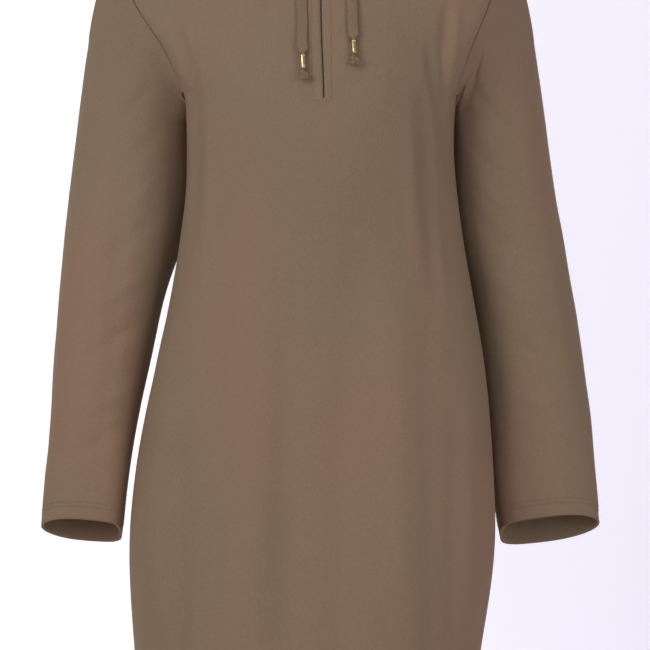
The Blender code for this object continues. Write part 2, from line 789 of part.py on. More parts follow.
def build_zip_tape(made, outer, normals, neck_columns, side_columns):
    """The zip's tape behind the slit, on the same rows as the front panel."""
    centre = neck_columns + side_columns
    rows = [i for i in range(len(outer)) if outer[i, centre, 2] > ZIP_END_Z - 14]
    offsets = (-TAPE_HALF, -4.0, 4.0, TAPE_HALF)
    grid = []
    facing = []
    for i in rows:
        line = outer[i]
        middle = (line[centre, 0] + line[centre + 1, 0]) / 2
        xs = [middle + o for o in offsets]
        depths = np.interp(xs, line[:, 0], line[:, 1])
        heights = np.interp(xs, line[:, 0], line[:, 2])
        grid.append(np.stack([xs, depths, heights], axis=1))
        facing.append([normals[i, centre]] * len(xs))
    grid = np.array(grid)
    facing = np.array(facing)
    grid[-1] = grid[-2] + (grid[-1] - grid[-2]) * 0.85
    near = grid - facing * (WALL + 0.45)
    wall("zip_tape", near, near - facing * TAPE_WALL, made)


def box(low, high):
    """The corners and faces of a box, as a bmesh."""
    bm = bmesh.new()
    corners = []
    for x in (low[0], high[0]):
        for y in (low[1], high[1]):
            corners += [bm.verts.new((x, y, low[2])), bm.verts.new((x, y, high[2]))]
    for face in ((0, 1, 3, 2), (4, 6, 7, 5), (0, 4, 5, 1), (2, 3, 7, 6), (0, 2, 6, 4), (1, 5, 7, 3)):
        bm.faces.new([corners[k] for k in face])
    return bm


def build_slider(made, front_tree):
    """The slider: a plate on the cloth, a stem through the slit and a bridge for the pull's bar."""
    middle_x = TORSO.at("middle", SLIDER_Z)
    place, normal = on_surface(front_tree, middle_x + 1.2, SLIDER_Z)
    place.x = middle_x
    out = Vector((0.0, normal.y, normal.z)).normalized()
    up = out.cross(Vector((1, 0, 0)))
    matrix = Matrix((Vector((1, 0, 0)), up, out)).transposed().to_4x4()
    matrix.translation = place * MM
    body = finish("zip_slider", box((-3.6, -5.0, 0.35), (3.6, 5.0, 1.6)), made)
    parts = (
        ((-0.38, -3.6, -WALL), (0.38, 3.6, 0.6)),
        ((-0.8, -2.0, 1.2), (0.8, -0.8, 4.8)),
        ((-0.8, 2.0, 1.2), (0.8, 3.2, 4.8)),
        ((-0.8, -2.0, 4.0), (0.8, 3.2, 5.0)),
    )
    body.matrix_world = matrix
    for k, (low, high) in enumerate(parts):
        piece = finish(f"slider_cut_{k}", box(low, high), made)
        piece.matrix_world = matrix
        piece.hide_render = True
        piece.display_type = "WIRE"
        join = body.modifiers.new(f"join_{k}", "BOOLEAN")
        join.operation = "UNION"
        join.solver = "EXACT"
        join.object = piece
    return matrix


def build_pull(made, slider_matrix):
    """The pull tab: a bar, an eye and a tab, with its origin on the bar."""
    xs = (-3.2, -1.5, 1.5, 3.2)
    ys = (0.7, -0.7, -4.6, -19.0)
    taper = (1.0, 1.0, 1.0, 0.8)
    top = np.array([[[x * t, y, 0.6] for x in xs] for y, t in zip(ys, taper)])
    pull = wall("zip_pull", top, top - np.array([0, 0, 1.2]), made, open_cells={(1, 1)})
    pull.matrix_world = slider_matrix @ Matrix.Translation(Vector((0.0, 0.6, 2.8)) * MM)
    return pull


for old in list(bpy.data.objects):
    bpy.data.objects.remove(old, do_unlink=True)

JERSEY = material("brown jersey", (0.225, 0.155, 0.110), 0.85)
TAPE = material("brown woven tape", (0.190, 0.130, 0.092), 0.80)
GOLD = material("light gold plate", (0.830, 0.640, 0.360), 0.25, 1.0)
ARM_STEPS = (0.0, 0.06, 0.15, 0.26, 0.38, 0.5, 0.62, 0.74, 0.85, 0.93, 1.0)
FRONT_COLUMNS = (6, 9)
BACK_COLUMNS = (6, 6)

front_drawn, front_outer, front_normals = build_panel("front", JERSEY, *FRONT_COLUMNS, 17, ARM_STEPS)
back_drawn, back_outer, back_normals = build_panel("back", JERSEY, *BACK_COLUMNS, 15, ARM_STEPS)
panels = {"front": (front_drawn, front_normals), "back": (back_drawn, back_normals)}
body = body_tree()
front_tree = tree_of(front_outer)
build_zip_tape(TAPE, front_outer, front_normals, *FRONT_COLUMNS)
slider_matrix = build_slider(GOLD, front_tree)
build_pull(GOLD, slider_matrix)
for side in ("left", "right"):
    build_sleeve(side, JERSEY, panels, body, len(ARM_STEPS))
    neckline = neck_seam(side, front_outer, back_outer, FRONT_COLUMNS, BACK_COLUMNS)
    neck_normals = neck_seam(side, front_normals, back_normals, FRONT_COLUMNS, BACK_COLUMNS)
    hood_grid = build_hood(side, JERSEY, neckline, neck_normals)
    build_eyelet(side, GOLD, tree_of(hood_grid))
    cord_points, cord_tangents = build_cord(side, TAPE)
    build_barrel(side, GOLD, cord_points[-1], cord_tangents[-1])
    build_knot(side, TAPE, cord_points[-1], cord_tangents[-1])
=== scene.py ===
import bpy
import bmesh
import math
import numpy as np
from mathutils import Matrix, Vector, noise
from mathutils.bvhtree import BVHTree
from mathutils.kdtree import KDTree


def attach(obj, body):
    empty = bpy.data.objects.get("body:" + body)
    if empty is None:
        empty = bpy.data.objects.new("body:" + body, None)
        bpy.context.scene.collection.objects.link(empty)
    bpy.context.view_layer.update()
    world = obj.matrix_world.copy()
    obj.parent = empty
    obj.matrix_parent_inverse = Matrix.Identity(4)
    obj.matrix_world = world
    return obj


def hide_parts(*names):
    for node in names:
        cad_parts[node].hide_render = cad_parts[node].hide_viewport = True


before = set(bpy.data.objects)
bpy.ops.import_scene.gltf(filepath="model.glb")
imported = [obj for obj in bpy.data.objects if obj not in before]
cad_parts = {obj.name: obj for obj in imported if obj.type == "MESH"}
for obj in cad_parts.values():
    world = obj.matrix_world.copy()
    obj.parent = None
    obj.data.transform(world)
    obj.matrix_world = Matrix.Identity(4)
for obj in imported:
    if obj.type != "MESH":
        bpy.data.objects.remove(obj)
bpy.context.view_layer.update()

# Shapes are made in millimetres, and pieces are kept in metres
MM = 0.001
MM_IN_METRE = 1000
HEM_Z = -945.0

scene = bpy.context.scene
scene.view_settings.view_transform = "Standard"


# Camera: level, straight at the front, cropped from the chest to the thigh

CAMERA_PLACE = (0.00735, -3.218, -0.461)
CAMERA_SENSOR_MM = 36.0
CAMERA_LENS_MM = 168.8
CAMERA_SEES_TO = 50.0


def aim_camera():
    camera = bpy.data.cameras.new("front_camera")
    camera.sensor_width = CAMERA_SENSOR_MM
    camera.lens = CAMERA_LENS_MM
    camera.clip_end = CAMERA_SEES_TO
    seat = bpy.data.objects.new("front_camera", camera)
    seat.location = CAMERA_PLACE
    seat.rotation_euler = (math.radians(90.0), 0.0, 0.0)
    scene.collection.objects.link(seat)
    scene.camera = seat


aim_camera()


# Shared shapes

def unit(vectors):
    """The same directions, each one long."""
    length = np.linalg.norm(vectors, axis=-1, keepdims=True)
    return vectors / np.maximum(length, 1e-9)


def finish(name, bm, rides="root"):
    """Turns a bmesh in millimetres into a piece that rides on a body."""
    bmesh.ops.recalc_face_normals(bm, faces=bm.faces)
    for face in bm.faces:
        face.smooth = True
    bmesh.ops.scale(bm, vec=(MM, MM, MM), verts=bm.verts)
    mesh = bpy.data.meshes.new(name)
    bm.to_mesh(mesh)
    bm.free()
    piece = bpy.data.objects.new(name, mesh)
    scene.collection.objects.link(piece)
    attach(piece, rides)
    return piece


def skin_rings(bm, rings, closed=False):
    """Joins rings of points into a tube, capped at its ends unless it closes on itself."""
    made = [[bm.verts.new(p) for p in ring] for ring in rings]
    pairs = list(zip(made, made[1:]))
    if closed:
        pairs.append((made[-1], made[0]))
    for low, high in pairs:
        for k in range(len(low)):
            n = (k + 1) % len(low)
            bm.faces.new([low[k], low[n], high[n], high[k]])
    if not closed:
        bm.faces.new(made[0][::-1])
        bm.faces.new(made[-1])


def points_of(mesh):
    values = np.zeros(len(mesh.vertices) * 3)
    mesh.vertices.foreach_get("co", values)
    return values.reshape(-1, 3)


def points_in_mm(piece):
    return points_of(piece.data) * MM_IN_METRE


def frame_along(axis):
    """Two directions across an axis: to the side, and away from the chest."""
    axis = Vector(axis).normalized()
    side = axis.cross(Vector((0.0, 1.0, 0.0)))
    side = side.normalized() if side.length > 0.05 else Vector((1.0, 0.0, 0.0))
    if side.x < 0:
        side = -side
    return side, side.cross(axis).normalized()


STEPS_A_POINT = 12


def smooth_route(points, count):
    """The same smooth line through the cord's points as its solid follows, evenly spaced."""
    route = [Vector(p) for p in points]
    fine = []
    for i in range(len(route) - 1):
        before = route[max(i - 1, 0)]
        after = route[min(i + 2, len(route) - 1)]
        for j in range(STEPS_A_POINT):
            f = j / STEPS_A_POINT
            fine.append(
                0.5
                * (
                    2 * route[i]
                    + (route[i + 1] - before) * f
                    + (2 * before - 5 * route[i] + 4 * route[i + 1] - after) * f**2
                    + (3 * route[i] - before - 3 * route[i + 1] + after) * f**3
                )
            )
    fine.append(route[-1])
    fine = np.array([tuple(p) for p in fine])
    along = np.concatenate([[0], np.cumsum(np.linalg.norm(np.diff(fine, axis=0), axis=1))])
    wanted = np.linspace(0, along[-1], count)
    return np.stack([np.interp(wanted, along, fine[:, k]) for k in range(3)], axis=1), wanted


# Drawcord: the two free ends of a flat tape of the same jersey

CORD_ROUTES = {
    "left": [
        (-21.5, -75.2, -58.0),
        (-21.5, -78.6, -58.8),
        (-21.2, -80.3, -62.5),
        (-20.5, -80.7, -70.0),
        (-19.4, -81.2, -80.0),
        (-17.8, -82.0, -100.0),
        (-16.6, -86.2, -122.0),
        (-16.2, -96.4, -144.0),
        (-15.9, -106.2, -166.0),
        (-15.4, -112.7, -183.0),
        (-15.0, -115.4, -192.0),
        (-14.4, -118.0, -201.0),
    ],
    "right": [
        (27.0, -74.8, -58.0),
        (27.1, -78.2, -58.8),
        (27.6, -79.9, -62.5),
        (28.7, -80.2, -70.0),
        (30.6, -80.4, -80.0),
        (33.4, -81.0, -100.0),
        (34.6, -84.2, -120.0),
        (35.2, -93.8, -140.0),
        (35.9, -102.1, -157.0),
        (36.5, -106.6, -168.0),
        (36.9, -109.8, -177.0),
        (37.3, -112.9, -185.5),
    ],
}
CORD_WIDTH = 10.5
CORD_THICK = 2.2
CORD_GATHERED = 3.8
CORD_GATHERED_THICK = 0.9 * CORD_GATHERED
CORD_RINGS = 150
CORD_RING_POINTS = 36
# The stitch line's place as a share of the half width, its half width and its depth
CORD_STITCH = (0.7, 0.09, 0.42)
BARREL_LENGTH = 14.2


def cord_size(along, length):
    """Width, thickness and flatness of the tape, gathered at the eyelet and into the barrel."""
    spread = min(1.0, max(0.0, (along - 5) / 16))
    close = min(1.0, max(0.0, (length - BARREL_LENGTH - 3 - along) / 5))
    flat = min(spread, close)
    flat = flat * flat * (3 - 2 * flat)
    width = CORD_GATHERED + (CORD_WIDTH - CORD_GATHERED) * flat
    thick = CORD_GATHERED_THICK + (CORD_THICK - CORD_GATHERED_THICK) * flat
    return width, thick, flat


def tape_profile(width, thick, flat):
    """The tape's cross-section: flat, with a raised welt outside each edge's stitch line."""
    ring = []
    stitch_place, stitch_half, stitch_depth = CORD_STITCH
    for k in range(CORD_RING_POINTS):
        turn = 2 * math.pi * k / CORD_RING_POINTS
        wide = math.copysign(abs(math.cos(turn)) ** 0.75, math.cos(turn))
        deep = math.copysign(abs(math.sin(turn)) ** 0.55, math.sin(turn))
        stitch = math.exp(-(((abs(wide) - stitch_place) / stitch_half) ** 2)) * stitch_depth
        bow = 0.12 * (1 - wide**2)
        ring.append((wide * width / 2, deep * thick / 2 * (1 - stitch * flat - bow * flat)))
    return ring


def make_cord(side):
    """One free end of the tape along its route, with a slight sideways sway."""
    points, along = smooth_route(CORD_ROUTES[side], CORD_RINGS)
    tangents = unit(np.gradient(points, axis=0))
    bm = bmesh.new()
    rings = []
    for point, tangent, s in zip(points, tangents, along):
        across, out = frame_along(tangent)
        width, thick, flat = cord_size(s, along[-1])
        sway = 0.25 * math.sin(s / 7.0 + (0 if side == "left" else 2)) * flat
        profile = tape_profile(width, thick, flat)
        rings.append([Vector(point) + across * (u + sway) + out * v for u, v in profile])
    skin_rings(bm, rings)
    return finish(f"drawcord_{side}", bm), points, tangents, along[-1]


BARREL_BORE = 2.3
BARREL_WALL = 2.62
BARREL_BEAD = 0.42
BARREL_POINTS = 48
# The waisted wall between the beads: radius, and height as a place below or above the middle
BARREL_WAIST = ((2.72, -2.0), (2.74, 0.0), (2.72, 2.0))


def make_barrel(side, end, tangent):
    """A turned metal cord end: waisted tube with a rolled bead at both rims and an open bore."""
    half = BARREL_LENGTH / 2
    beads = []
    for k in range(7):
        turn = math.pi * (k / 6 - 0.5)
        radius = BARREL_WALL + BARREL_BEAD * math.cos(turn)
        beads.append((radius, half - 0.45 + BARREL_BEAD * math.sin(turn)))
    profile = [(BARREL_BORE, -half + 0.4)]
    profile += [(r, -z) for r, z in reversed(beads)]
    profile += [(2.66, -half + 1.5), *BARREL_WAIST, (2.66, half - 1.5)]
    profile += beads
    profile += [(BARREL_BORE, half - 0.4)]
    axis = Vector(tangent).normalized()
    first, second = frame_along(axis)
    middle = Vector(end) - axis * (half + 1.2)
    bm = bmesh.new()
    rings = []
    for k in range(BARREL_POINTS):
        turn = 2 * math.pi * k / BARREL_POINTS
        out = first * math.cos(turn) + second * math.sin(turn)
        rings.append([middle + out * r + axis * z for r, z in profile])
    skin_rings(bm, rings, closed=True)
    return finish(f"cord_end_{side}", bm)


KNOT_BELOW_BARREL = 6.6
KNOT_STRAND = 2.05
KNOT_HALF_WIDE = 3.1
KNOT_HALF_HIGH = 4.1
KNOT_HALF_DEEP = 1.6
KNOT_STEPS = 96
KNOT_RING_POINTS = 12


def make_knot(side, end, tangent):
    """An overhand knot pulled tight in the tape: one strand that passes over and under itself."""
    axis = Vector(tangent).normalized()
    first, second = frame_along(axis)
    middle = Vector(end) + axis * KNOT_BELOW_BARREL
    bm = bmesh.new()
    rings = []
    path = []
    for k in range(KNOT_STEPS):
        t = 2 * math.pi * k / KNOT_STEPS
        u = (math.sin(t) + 2 * math.sin(2 * t)) / 2.76
        v = (math.cos(t) - 2 * math.cos(2 * t)) / 2.8
        w = -math.sin(3 * t)
        level = middle + first * (u * KNOT_HALF_WIDE) + axis * (v * KNOT_HALF_HIGH)
        path.append(level + second * (w * KNOT_HALF_DEEP))
    for k in range(KNOT_STEPS):
        ahead = (path[(k + 1) % KNOT_STEPS] - path[k - 1]).normalized()
        side_way = ahead.cross(second).normalized()
        up = side_way.cross(ahead).normalized()
        ring = []
        for j in range(KNOT_RING_POINTS):
            turn = 2 * math.pi * j / KNOT_RING_POINTS
            wide = side_way * (math.cos(turn) * KNOT_STRAND)
            ring.append(path[k] + wide + up * (math.sin(turn) * KNOT_STRAND * 0.92))
        rings.append(ring)
    skin_rings(bm, rings, closed=True)
    core = [
        [
            middle
            + first * (math.cos(2 * math.pi * j / 16) * 2.6 * math.sin(math.pi * i / 8))
            + second * (math.sin(2 * math.pi * j / 16) * 1.9 * math.sin(math.pi * i / 8))
            + axis * (-4.4 * math.cos(math.pi * i / 8))
            for j in range(16)
        ]
        for i in range(1, 8)
    ]
    skin_rings(bm, core)
    return finish(f"cord_knot_{side}", bm)


cords = {}
for side in ("left", "right"):
    piece, points, tangents, length = make_cord(side)
    barrel = make_barrel(side, points[-1], tangents[-1])
    knot = make_knot(side, points[-1], tangents[-1])
    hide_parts(f"cord_{side}")
    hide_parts(f"barrel_{side}")
    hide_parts(f"knot_{side}")
    cords[side] = (piece, barrel, knot)


# Cloth: each panel is its solid's own wall, made finer, eased into folds and rolled at the seams

class AxisLine:
    """The middle and half sizes of a hollow form, slice by slice up its height."""

    def __init__(self, points, slices):
        heights = np.linspace(points[:, 2].min(), points[:, 2].max(), slices + 1)
        rows = []
        for low, high in zip(heights, heights[1:]):
            near = points[(points[:, 2] >= low - 12) & (points[:, 2] <= high + 12)]
            if len(near) > 3:
                small = near.min(axis=0)
                large = near.max(axis=0)
                rows.append([(low + high) / 2, *((small + large) / 2)[:2], *((large - small) / 2)[:2]])
        self.rows = np.array(rows)

    def at(self, heights):
        z = self.rows[:, 0]
        return [np.interp(heights, z, self.rows[:, k]) for k in (1, 2, 3, 4)]


def cell_mesh(name, seam_roll):
    """The node's wall as welded four-sided cells with its rims creased, and the rim points that the seams
    draw in.
    """
    bm = bmesh.new()
    bm.from_mesh(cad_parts[name].data)
    bmesh.ops.scale(bm, vec=(MM_IN_METRE, MM_IN_METRE, MM_IN_METRE), verts=bm.verts)
    bmesh.ops.remove_doubles(bm, verts=bm.verts, dist=0.02)
    bmesh.ops.join_triangles(
        bm, faces=bm.faces, angle_face_threshold=math.radians(50), angle_shape_threshold=math.radians(60)
    )
    bmesh.ops.recalc_face_normals(bm, faces=bm.faces)
    crease = bm.edges.layers.float.new("crease_edge")
    rim = set()
    for edge in bm.edges:
        if len(edge.link_faces) == 2 and edge.calc_face_angle() > math.radians(55):
            edge[crease] = 0.9
            rim.update(edge.verts)
    return bm, [v for v in rim if v.co.z > HEM_Z + 5] if seam_roll else []


def finer(name, bm, levels):
    """Applies subdivision to the cells and gives back a fresh mesh object in millimetres."""
    mesh = bpy.data.meshes.new(name)
    bm.to_mesh(mesh)
    bm.free()
    draft = bpy.data.objects.new(name, mesh)
    scene.collection.objects.link(draft)
    soften = draft.modifiers.new("finer", "SUBSURF")
    soften.levels = levels
    soften.use_limit_surface = False
    graph = bpy.context.evaluated_depsgraph_get()
    fine = bpy.data.meshes.new_from_object(draft.evaluated_get(graph))
    bpy.data.objects.remove(draft, do_unlink=True)
    bpy.data.meshes.remove(mesh)
    fine.name = name
    piece = bpy.data.objects.new(name, fine)
    scene.collection.objects.link(piece)
    return piece


def outward(points, line, top=None):
    """Level directions away from the form's middle, turning upward above the height of top."""
    x, y, half_x, half_y = line.at(points[:, 2])
    out = np.stack([(points[:, 0] - x) / half_x**2, (points[:, 1] - y) / half_y**2, 0 * x], axis=1)
    out = unit(out)
    if top is not None:
        lift = np.clip((points[:, 2] - top[2]) / top[3], 0, 1)[:, None]
        out = unit(out * (1 - lift) + unit(points - np.array(top[:3])) * lift)
    return out


def fold_depth(points, folds):
    """Sum of soft folds: each a bent line seen from the front, with a half width and a height."""
    total = np.zeros(len(points))
    for x_top, z_top, x_end, z_end, bend, half, out, side in folds:
        start = np.array([x_top, z_top])
        run = np.array([x_end, z_end]) - start
        length = np.linalg.norm(run)
        run = run / length
        away = points[:, [0, 2]] - start
        along = away @ run / length
        across = away @ np.array([-run[1], run[0]])
        across = across - bend * 4 * along * (1 - along)
        ends = np.clip(along, 0, 1)
        ends = (4 * ends * (1 - ends)) ** 0.7
        facing = 1 / (1 + np.exp(side * (points[:, 1] + 18) / 12)) if side else 1.0
        total += out * np.exp(-((across / half) ** 2)) * ends * facing
    return total


def drift(points, size, seed):
    """Slow unevenness of hanging cloth, from -1 to 1, longer down the garment than across it."""
    shift = Vector((seed, 2.3 * seed, -1.7 * seed))
    scaled = points / np.array([size, size, 2.2 * size])
    return np.array([noise.noise(Vector(p) + shift) for p in scaled])


def lay_out(mesh, points, line):
    """Lays the knit's rows and columns on the cloth: millimetres round the form and up it."""
    x, y, half_x, half_y = line.at(points[:, 2])
    girth = float(np.mean((half_x + half_y) / 2))
    turn = np.arctan2((points[:, 0] - x) / half_x, -(points[:, 1] - y) / half_y)
    layer = mesh.uv_layers.new(name="knit_lay")
    corners = np.zeros(len(mesh.loops), dtype=int)
    mesh.loops.foreach_get("vertex_index", corners)
    starts = np.zeros(len(mesh.polygons), dtype=int)
    mesh.polygons.foreach_get("loop_start", starts)
    totals = np.zeros(len(mesh.polygons), dtype=int)
    mesh.polygons.foreach_get("loop_total", totals)
    first = np.repeat(turn[corners[starts]], totals)
    here = turn[corners]
    here = here - 2 * math.pi * np.round((here - first) / (2 * math.pi))
    flat = np.stack([here * girth / 100, points[corners, 2] / 100], axis=1)
    layer.data.foreach_set("uv", flat.ravel())


SEAM_REACH = 10.0


def near_seam(mesh, points, free_below):
    """0 at a seam's rim, 1 from the seam's reach away; rims below free_below are free hems."""
    sharp = set()
    normals = np.zeros(len(mesh.polygons) * 3)
    mesh.polygons.foreach_get("normal", normals)
    normals = normals.reshape(-1, 3)
    beside = {}
    for face in mesh.polygons:
        for key in face.edge_keys:
            beside.setdefault(key, []).append(face.index)
    for key, faces in beside.items():
        if len(faces) == 2 and normals[faces[0]] @ normals[faces[1]] < 0.75:
            sharp.update(key)
    rims = [i for i in sharp if points[i, 2] > free_below]
    tree = KDTree(len(rims))
    for k, i in enumerate(rims):
        tree.insert(points[i], k)
    tree.balance()
    away = np.array([tree.find(p)[2] for p in points]) / SEAM_REACH
    away = np.clip(away, 0, 1)
    return away * away * (3 - 2 * away)


# Unevenness of the hanging cloth: its height, and the sizes of its broad and narrow swells
WAVER = 0.9
WAVER_BROAD = 45.0
WAVER_NARROW = 17.0
WAVER_NARROW_SHARE = 0.45


def make_cloth(node, line, folds, levels, roll, free_below, hem_wave=None, top=None, firm=(), settle=0.0):
    """One panel of jersey: its solid's wall, rolled at the seams, subdivided and eased into folds.
    A settled panel sits down onto the seam under it by that many millimetres."""
    bm, rim = cell_mesh(node, True)
    if rim:
        at = np.array([v.co for v in rim])
        way = outward(at, line, top)
        for vert, move in zip(rim, way):
            vert.co -= Vector(move) * roll
    piece = finer(f"cloth_{node}", bm, levels)
    mesh = piece.data
    points = points_of(mesh)
    way = outward(points, line, top)
    move = fold_depth(points, folds) + WAVER * drift(points, WAVER_BROAD, 3.0)
    move += WAVER_NARROW_SHARE * WAVER * drift(points, WAVER_NARROW, 8.0)
    if hem_wave:
        edge, height, reach = hem_wave
        near = np.clip(1 - (points[:, 2] - edge) / height, 0, 1) ** 2
        move += reach * near * np.sin(points[:, 0] / 21.0 + 3.0)
    move *= near_seam(mesh, points, free_below)
    move += fold_depth(points, firm)
    points = points + way * move[:, None]
    points[:, 2] -= settle * np.clip((50 - points[:, 2]) / 60, 0, 1)
    lay_out(mesh, points, line)
    mesh.vertices.foreach_set("co", (points * MM).ravel())
    mesh.shade_smooth()
    mesh.update()
    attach(piece, "root")
    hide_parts(node)
    return piece


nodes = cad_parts
body_line = AxisLine(np.concatenate([points_in_mm(nodes[n]) for n in ("front", "back")]), 48)

# Folds as seen from the front: x and z of both ends, bend, half width, height, and the side that
# they are on: 1 front, -1 back, 0 all round
FRONT_FOLDS = [
    (146, -126, 138, -232, -3, 5, 2.6, 1),
    (132, -128, 137, -182, 1, 5, -4.6, 1),
    (113, -168, 124, -236, -2, 3.4, -3.0, 1),
    (128, -140, 133, -238, -1, 3.0, -3.4, 1),
    (119, -160, 139, -320, -3, 6, -2.6, 1),
    (108, -205, 122, -430, -3, 7, -2.6, 1),
    (96, -215, 108, -425, -4, 8, 2.2, 1),
    (118, -240, 133, -460, -3, 6, 2.0, 1),
    (35, -198, 20, -226, 2, 4, -1.4, 1),
    (-154, -138, -133, -242, 7, 6, -5.4, 1),
    (-129, -170, -126, -360, 2, 6, -3.0, 1),
    (-116, -190, -120, -440, 3, 8, 2.0, 1),
    (-100, -260, -112, -560, 4, 11, -2.4, 1),
    (-60, -360, -78, -860, 5, 24, 3.2, 1),
    (48, -310, 40, -700, -6, 22, -2.8, 1),
    (76, -400, 84, -900, 5, 20, 3.0, 1),
    (-30, -400, -44, -960, 4, 15, -3.0, 1),
    (2, -330, -6, -960, 3, 26, 2.2, 1),
    (26, -450, 22, -960, -3, 15, -2.8, 1),
    (112, -430, 116, -940, 3, 12, -2.2, 1),
    (-104, -470, -112, -950, 3, 11, -2.2, 1),
    (150, -400, 158, -800, 3, 13, 2.4, 1),
    (-158, -440, -172, -800, -3, 13, 2.4, 1),
    (-140, -540, -150, -950, 3, 11, -2.8, 1),
    (140, -540, 132, -950, 3, 11, -2.4, 1),
    (-70, -205, 0, -232, 4, 12, -1.4, 1),
    (70, -212, 10, -236, -4, 12, -1.2, 1),
]
BACK_FOLDS = [
    (-40, -240, -52, -560, 4, 18, -2.0, -1),
    (44, -240, 56, -560, -4, 18, -2.0, -1),
    (-92, -280, -104, -900, 5, 20, 2.0, -1),
    (90, -280, 100, -900, -5, 20, 2.0, -1),
    (4, -420, -4, -930, 0, 20, -2.2, -1),
    (-120, -240, -60, -330, 5, 10, -1.6, -1),
    (118, -238, 64, -325, -5, 10, -1.6, -1),
    (-60, -60, 60, -62, 4, 22, -1.5, -1),
]
SLEEVE_FOLDS = {
    "left": [
        (-196, -120, -236, -236, 6, 9, -2.6, 1),
        (-170, -200, -222, -252, 5, 6, -2.6, 1),
        (-160, -250, -232, -312, 5, 7, -3.0, 1),
        (-164, -300, -226, -352, 5, 5, 2.0, 1),
        (-160, -332, -244, -408, 5, 8, -3.0, 1),
        (-176, -404, -250, -446, 4, 7, 2.4, 1),
        (-176, -448, -264, -504, 4, 8, -2.8, 1),
        (-186, -520, -266, -556, 4, 7, 1.8, 1),
        (-196, -560, -272, -604, 4, 8, -2.2, 1),
        (-252, -300, -270, -560, -5, 8, 2.6, 1),
        (-206, -250, -226, -600, 4, 9, -1.8, 1),
        (-190, -300, -250, -420, 6, 12, -2.2, -1),
    ],
    "right": [
        (176, -118, 220, -236, -6, 9, -2.4, 1),
        (173, -136, 151, -240, 2, 5, -6.5, 1),
        (160, -206, 214, -262, -5, 6, -3.0, 1),
        (156, -262, 222, -326, -5, 7, -3.0, 1),
        (162, -300, 224, -356, -5, 5, 2.0, 1),
        (158, -336, 240, -408, -5, 8, -2.8, 1),
        (172, -404, 250, -446, -4, 7, 2.4, 1),
        (172, -452, 266, -508, -4, 8, -2.8, 1),
        (188, -520, 272, -556, -4, 7, 1.8, 1),
        (192, -560, 280, -608, -4, 8, -2.2, 1),
        (232, -300, 268, -580, 5, 9, 2.4, 1),
        (206, -260, 226, -600, -4, 9, -1.6, 1),
        (186, -300, 240, -420, -6, 12, -2.2, -1),
    ],
}
# The sleeve's fullness under the arm, which closes on the side of the body
UNDERARM_FULLNESS = {
    "left": [(-143, -198, -139, -246, 0, 9, 4.4, 0)],
    "right": [(146, -198, 142, -246, 0, 9, 2.6, 0)],
}
HOOD_FOLDS = [
    (-60, -40, -84, 120, 5, 12, -1.8, 0),
    (60, -40, 84, 120, -5, 12, -1.8, 0),
    (-92, 40, -100, 200, 5, 16, 1.6, 0),
    (92, 40, 100, 200, -5, 16, 1.6, 0),
]

BODY_FINENESS = 2
LIMB_FINENESS = 3
SEAM_ROLL = 0.45
HOOD_SEAM_ROLL = 0.3
# Rims under these heights are free hems; the hood has none, so its height lies under all of it
BODY_FREE_BELOW = HEM_Z + 5
CUFF_FREE_BELOW = -640
HOOD_FREE_BELOW = -500
# The wave in the hem: the height of its edge, how far up it goes, and its depth
HEM_WAVE = (HEM_Z, 90, 1.6)
# Where the hood starts to round over, and the height in which it does
HOOD_TOP = (0.0, 22.0, 150.0, 90.0)
HOOD_SETTLE = 1.4

cloth = {}
for node, folds in (("front", FRONT_FOLDS), ("back", BACK_FOLDS)):
    cloth[node] = make_cloth(node, body_line, folds, BODY_FINENESS, SEAM_ROLL, BODY_FREE_BELOW, HEM_WAVE)
for side in ("left", "right"):
    node = f"sleeve_{side}"
    sleeve_line = AxisLine(points_in_mm(nodes[node]), 24)
    cloth[node] = make_cloth(
        node, sleeve_line, SLEEVE_FOLDS[side], LIMB_FINENESS, SEAM_ROLL, CUFF_FREE_BELOW,
        firm=UNDERARM_FULLNESS[side],
    )
hood_line = AxisLine(np.concatenate([points_in_mm(nodes[n]) for n in ("hood_left", "hood_right")]), 24)
for node in ("hood_left", "hood_right"):
    cloth[node] = make_cloth(
        node, hood_line, HOOD_FOLDS, LIMB_FINENESS, HOOD_SEAM_ROLL, HOOD_FREE_BELOW,
        top=HOOD_TOP, settle=HOOD_SETTLE,
    )


# Sewing and trims

def cloth_tree(names):
    """A search tree over finished panels, in millimetres."""
    corners = []
    faces = []
    for name in names:
        mesh = cloth[name].data
        start = len(corners)
        corners += [Vector(v.co) * MM_IN_METRE for v in mesh.vertices]
        faces += [[start + k for k in face.vertices] for face in mesh.polygons]
    return BVHTree.FromPolygons(corners, faces)


THREAD_LIFT = 0.1


def lay_line(tree, starts, directions):
    """Points where rays meet the cloth, just proud of it, with the cloth's facing there."""
    line = []
    for start, direction in zip(starts, directions):
        place, facing, _, _ = tree.ray_cast(Vector(start), Vector(direction).normalized())
        if place is not None:
            if facing.dot(Vector(direction)) > 0:
                facing = -facing
            line.append((place + facing * THREAD_LIFT, facing))
    return line


# One stitch's rings: how far along it, its share of the thread's thickness, and its height
STITCH_RINGS = ((0.0, 0.45, -0.35), (0.2, 0.95, 0.0), (0.8, 0.95, 0.0), (1.0, 0.45, -0.35))
STITCH_LENGTH = 2.4
ZIP_STITCH_LENGTH = 2.2
STITCH_GAP = 0.75
# Sewing thread is about 0.3 mm thick, drawn here at 0.6 mm so that it shows
THREAD_THICK = 0.6
THREAD_TURNS = (0.0, math.pi / 3, 2 * math.pi / 3, math.pi, 3 * math.pi / 2)


